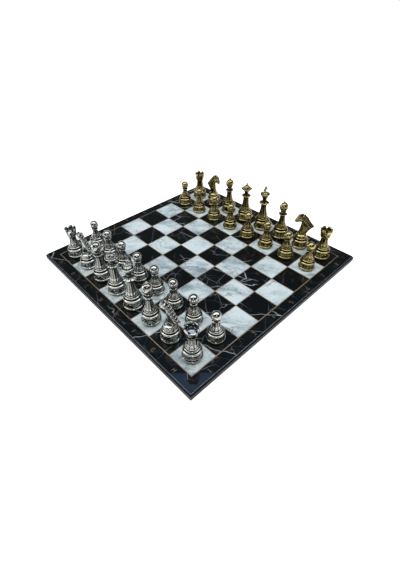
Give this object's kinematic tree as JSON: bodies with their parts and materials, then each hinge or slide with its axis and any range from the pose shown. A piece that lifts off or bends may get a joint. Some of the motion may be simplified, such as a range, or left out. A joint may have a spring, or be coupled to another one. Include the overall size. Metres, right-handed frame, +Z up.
{
  "type": "chess set with board",
  "caption": "Board with a marble pattern, thin gold lines and a plain border, and two armies of ornate cast metal chess men standing ready to play.",
  "frame": {"origin": "centre of the board's resting face, level with the bottom of the foot pads", "axes": "+X from the a file to the h file, +Y from rank 1 to rank 8, +Z up; the silver men stand on the -Y side"},
  "size_m": [0.356, 0.356, 0.0905],
  "materials": {
    "black_edge": "fibre core with black gloss lacquered edge",
    "dark_marble": "gloss lacquered dark marble pattern with pale veins",
    "light_marble": "gloss lacquered pale marble pattern",
    "gold_line": "dull gold line under gloss lacquer",
    "backing": "matt dark balancing sheet",
    "foot_rubber": "matt",
    "antique_silver": "polished cast metal, antique silver with dark recesses",
    "antique_gold": "polished cast metal, antique brass with dark recesses",
    "felt": "felt"
  },
  "bodies": {
    "board": {"board_core": "black_edge", "marble_sheet": "dark_marble", "light_squares": "light_marble", "gold_lines": "gold_line", "base_sheet": "backing", "foot_pads": "foot_rubber"},
    "silver_rook_a1_man": {"silver_rook_a1": "antique_silver", "silver_rook_a1_felt": "felt"},
    "silver_knight_b1_man": {"silver_knight_b1": "antique_silver", "silver_knight_b1_felt": "felt"},
    "silver_bishop_c1_man": {"silver_bishop_c1": "antique_silver", "silver_bishop_c1_felt": "felt"},
    "silver_queen_d1_man": {"silver_queen_d1": "antique_silver", "silver_queen_d1_felt": "felt"},
    "silver_king_e1_man": {"silver_king_e1": "antique_silver", "silver_king_e1_felt": "felt"},
    "silver_bishop_f1_man": {"silver_bishop_f1": "antique_silver", "silver_bishop_f1_felt": "felt"},
    "silver_knight_g1_man": {"silver_knight_g1": "antique_silver", "silver_knight_g1_felt": "felt"},
    "silver_rook_h1_man": {"silver_rook_h1": "antique_silver", "silver_rook_h1_felt": "felt"},
    "silver_pawn_a2_man": {"silver_pawn_a2": "antique_silver"},
    "silver_pawn_b2_man": {"silver_pawn_b2": "antique_silver"},
    "silver_pawn_c2_man": {"silver_pawn_c2": "antique_silver"},
    "silver_pawn_d2_man": {"silver_pawn_d2": "antique_silver"},
    "silver_pawn_e2_man": {"silver_pawn_e2": "antique_silver"},
    "silver_pawn_f2_man": {"silver_pawn_f2": "antique_silver"},
    "silver_pawn_g2_man": {"silver_pawn_g2": "antique_silver"},
    "silver_pawn_h2_man": {"silver_pawn_h2": "antique_silver"},
    "gold_rook_a8_man": {"gold_rook_a8": "antique_gold", "gold_rook_a8_felt": "felt"},
    "gold_knight_b8_man": {"gold_knight_b8": "antique_gold", "gold_knight_b8_felt": "felt"},
    "gold_bishop_c8_man": {"gold_bishop_c8": "antique_gold", "gold_bishop_c8_felt": "felt"},
    "gold_queen_d8_man": {"gold_queen_d8": "antique_gold", "gold_queen_d8_felt": "felt"},
    "gold_king_e8_man": {"gold_king_e8": "antique_gold", "gold_king_e8_felt": "felt"},
    "gold_bishop_f8_man": {"gold_bishop_f8": "antique_gold", "gold_bishop_f8_felt": "felt"},
    "gold_knight_g8_man": {"gold_knight_g8": "antique_gold", "gold_knight_g8_felt": "felt"},
    "gold_rook_h8_man": {"gold_rook_h8": "antique_gold", "gold_rook_h8_felt": "felt"},
    "gold_pawn_a7_man": {"gold_pawn_a7": "antique_gold"},
    "gold_pawn_b7_man": {"gold_pawn_b7": "antique_gold"},
    "gold_pawn_c7_man": {"gold_pawn_c7": "antique_gold"},
    "gold_pawn_d7_man": {"gold_pawn_d7": "antique_gold"},
    "gold_pawn_e7_man": {"gold_pawn_e7": "antique_gold"},
    "gold_pawn_f7_man": {"gold_pawn_f7": "antique_gold"},
    "gold_pawn_g7_man": {"gold_pawn_g7": "antique_gold"},
    "gold_pawn_h7_man": {"gold_pawn_h7": "antique_gold"}
  },
  "joints": [
    {"name": "lift_silver_rook_a1", "type": "slide", "parent": "board", "child": "silver_rook_a1_man", "axis": [0, 0, 1], "range_m": [0, 0.12]},
    {"name": "lift_silver_knight_b1", "type": "slide", "parent": "board", "child": "silver_knight_b1_man", "axis": [0, 0, 1], "range_m": [0, 0.12]},
    {"name": "lift_silver_bishop_c1", "type": "slide", "parent": "board", "child": "silver_bishop_c1_man", "axis": [0, 0, 1], "range_m": [0, 0.12]},
    {"name": "lift_silver_queen_d1", "type": "slide", "parent": "board", "child": "silver_queen_d1_man", "axis": [0, 0, 1], "range_m": [0, 0.12]},
    {"name": "lift_silver_king_e1", "type": "slide", "parent": "board", "child": "silver_king_e1_man", "axis": [0, 0, 1], "range_m": [0, 0.12]},
    {"name": "lift_silver_bishop_f1", "type": "slide", "parent": "board", "child": "silver_bishop_f1_man", "axis": [0, 0, 1], "range_m": [0, 0.12]},
    {"name": "lift_silver_knight_g1", "type": "slide", "parent": "board", "child": "silver_knight_g1_man", "axis": [0, 0, 1], "range_m": [0, 0.12]},
    {"name": "lift_silver_rook_h1", "type": "slide", "parent": "board", "child": "silver_rook_h1_man", "axis": [0, 0, 1], "range_m": [0, 0.12]},
    {"name": "lift_silver_pawn_a2", "type": "slide", "parent": "board", "child": "silver_pawn_a2_man", "axis": [0, 0, 1], "range_m": [0, 0.12]},
    {"name": "lift_silver_pawn_b2", "type": "slide", "parent": "board", "child": "silver_pawn_b2_man", "axis": [0, 0, 1], "range_m": [0, 0.12]},
    {"name": "lift_silver_pawn_c2", "type": "slide", "parent": "board", "child": "silver_pawn_c2_man", "axis": [0, 0, 1], "range_m": [0, 0.12]},
    {"name": "lift_silver_pawn_d2", "type": "slide", "parent": "board", "child": "silver_pawn_d2_man", "axis": [0, 0, 1], "range_m": [0, 0.12]},
    {"name": "lift_silver_pawn_e2", "type": "slide", "parent": "board", "child": "silver_pawn_e2_man", "axis": [0, 0, 1], "range_m": [0, 0.12]},
    {"name": "lift_silver_pawn_f2", "type": "slide", "parent": "board", "child": "silver_pawn_f2_man", "axis": [0, 0, 1], "range_m": [0, 0.12]},
    {"name": "lift_silver_pawn_g2", "type": "slide", "parent": "board", "child": "silver_pawn_g2_man", "axis": [0, 0, 1], "range_m": [0, 0.12]},
    {"name": "lift_silver_pawn_h2", "type": "slide", "parent": "board", "child": "silver_pawn_h2_man", "axis": [0, 0, 1], "range_m": [0, 0.12]},
    {"name": "lift_gold_rook_a8", "type": "slide", "parent": "board", "child": "gold_rook_a8_man", "axis": [0, 0, 1], "range_m": [0, 0.12]},
    {"name": "lift_gold_knight_b8", "type": "slide", "parent": "board", "child": "gold_knight_b8_man", "axis": [0, 0, 1], "range_m": [0, 0.12]},
    {"name": "lift_gold_bishop_c8", "type": "slide", "parent": "board", "child": "gold_bishop_c8_man", "axis": [0, 0, 1], "range_m": [0, 0.12]},
    {"name": "lift_gold_queen_d8", "type": "slide", "parent": "board", "child": "gold_queen_d8_man", "axis": [0, 0, 1], "range_m": [0, 0.12]},
    {"name": "lift_gold_king_e8", "type": "slide", "parent": "board", "child": "gold_king_e8_man", "axis": [0, 0, 1], "range_m": [0, 0.12]},
    {"name": "lift_gold_bishop_f8", "type": "slide", "parent": "board", "child": "gold_bishop_f8_man", "axis": [0, 0, 1], "range_m": [0, 0.12]},
    {"name": "lift_gold_knight_g8", "type": "slide", "parent": "board", "child": "gold_knight_g8_man", "axis": [0, 0, 1], "range_m": [0, 0.12]},
    {"name": "lift_gold_rook_h8", "type": "slide", "parent": "board", "child": "gold_rook_h8_man", "axis": [0, 0, 1], "range_m": [0, 0.12]},
    {"name": "lift_gold_pawn_a7", "type": "slide", "parent": "board", "child": "gold_pawn_a7_man", "axis": [0, 0, 1], "range_m": [0, 0.12]},
    {"name": "lift_gold_pawn_b7", "type": "slide", "parent": "board", "child": "gold_pawn_b7_man", "axis": [0, 0, 1], "range_m": [0, 0.12]},
    {"name": "lift_gold_pawn_c7", "type": "slide", "parent": "board", "child": "gold_pawn_c7_man", "axis": [0, 0, 1], "range_m": [0, 0.12]},
    {"name": "lift_gold_pawn_d7", "type": "slide", "parent": "board", "child": "gold_pawn_d7_man", "axis": [0, 0, 1], "range_m": [0, 0.12]},
    {"name": "lift_gold_pawn_e7", "type": "slide", "parent": "board", "child": "gold_pawn_e7_man", "axis": [0, 0, 1], "range_m": [0, 0.12]},
    {"name": "lift_gold_pawn_f7", "type": "slide", "parent": "board", "child": "gold_pawn_f7_man", "axis": [0, 0, 1], "range_m": [0, 0.12]},
    {"name": "lift_gold_pawn_g7", "type": "slide", "parent": "board", "child": "gold_pawn_g7_man", "axis": [0, 0, 1], "range_m": [0, 0.12]},
    {"name": "lift_gold_pawn_h7", "type": "slide", "parent": "board", "child": "gold_pawn_h7_man", "axis": [0, 0, 1], "range_m": [0, 0.12]}
  ]
}
